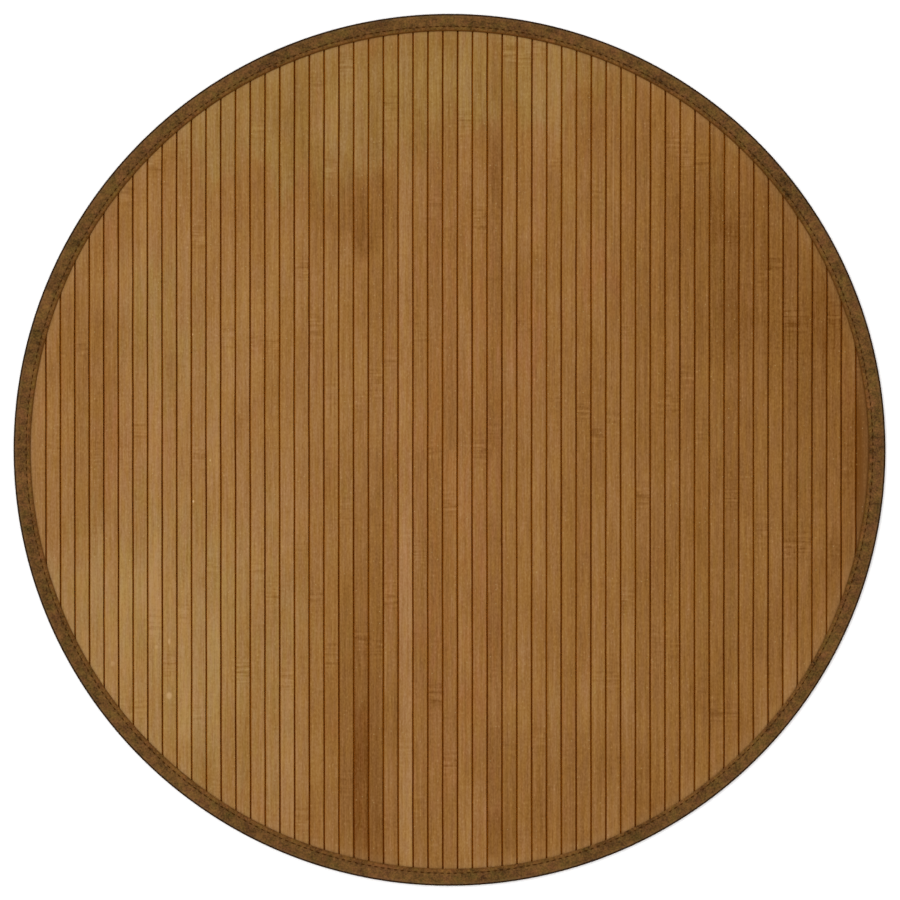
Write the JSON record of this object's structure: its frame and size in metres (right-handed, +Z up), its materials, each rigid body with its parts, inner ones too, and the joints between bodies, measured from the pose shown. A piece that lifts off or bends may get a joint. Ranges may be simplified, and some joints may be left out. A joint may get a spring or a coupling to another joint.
{
  "type": "round bamboo rug",
  "caption": "Flat round floor rug of narrow bamboo slats laid side by side on a felt backing, with a brown cloth binding folded over and sewn round the rim.",
  "frame": {"origin": "centre of the underside, where the rug lies on the floor", "axes": "+Z up, out of the upper face; +Y along the slats; +X across the slats"},
  "size_m": [1, 1, 0.0079],
  "materials": {
    "bamboo": "satin",
    "backing_felt": "matte",
    "binding_cloth": "matte"
  },
  "bodies": {
    "root": {"backing": "backing_felt", "binding": "binding_cloth", "slat_01": "bamboo", "slat_02": "bamboo", "slat_03": "bamboo", "slat_04": "bamboo", "slat_05": "bamboo", "slat_06": "bamboo", "slat_07": "bamboo", "slat_08": "bamboo", "slat_09": "bamboo", "slat_10": "bamboo", "slat_11": "bamboo", "slat_12": "bamboo", "slat_13": "bamboo", "slat_14": "bamboo", "slat_15": "bamboo", "slat_16": "bamboo", "slat_17": "bamboo", "slat_18": "bamboo", "slat_19": "bamboo", "slat_20": "bamboo", "slat_21": "bamboo", "slat_22": "bamboo", "slat_23": "bamboo", "slat_24": "bamboo", "slat_25": "bamboo", "slat_26": "bamboo", "slat_27": "bamboo", "slat_28": "bamboo", "slat_29": "bamboo", "slat_30": "bamboo", "slat_31": "bamboo", "slat_32": "bamboo", "slat_33": "bamboo", "slat_34": "bamboo", "slat_35": "bamboo", "slat_36": "bamboo", "slat_37": "bamboo", "slat_38": "bamboo", "slat_39": "bamboo", "slat_40": "bamboo", "slat_41": "bamboo", "slat_42": "bamboo", "slat_43": "bamboo", "slat_44": "bamboo", "slat_45": "bamboo", "slat_46": "bamboo", "slat_47": "bamboo", "slat_48": "bamboo", "slat_49": "bamboo", "slat_50": "bamboo", "slat_51": "bamboo", "slat_52": "bamboo", "slat_53": "bamboo", "slat_54": "bamboo", "slat_55": "bamboo", "slat_56": "bamboo", "slat_57": "bamboo"}
  },
  "joints": []
}
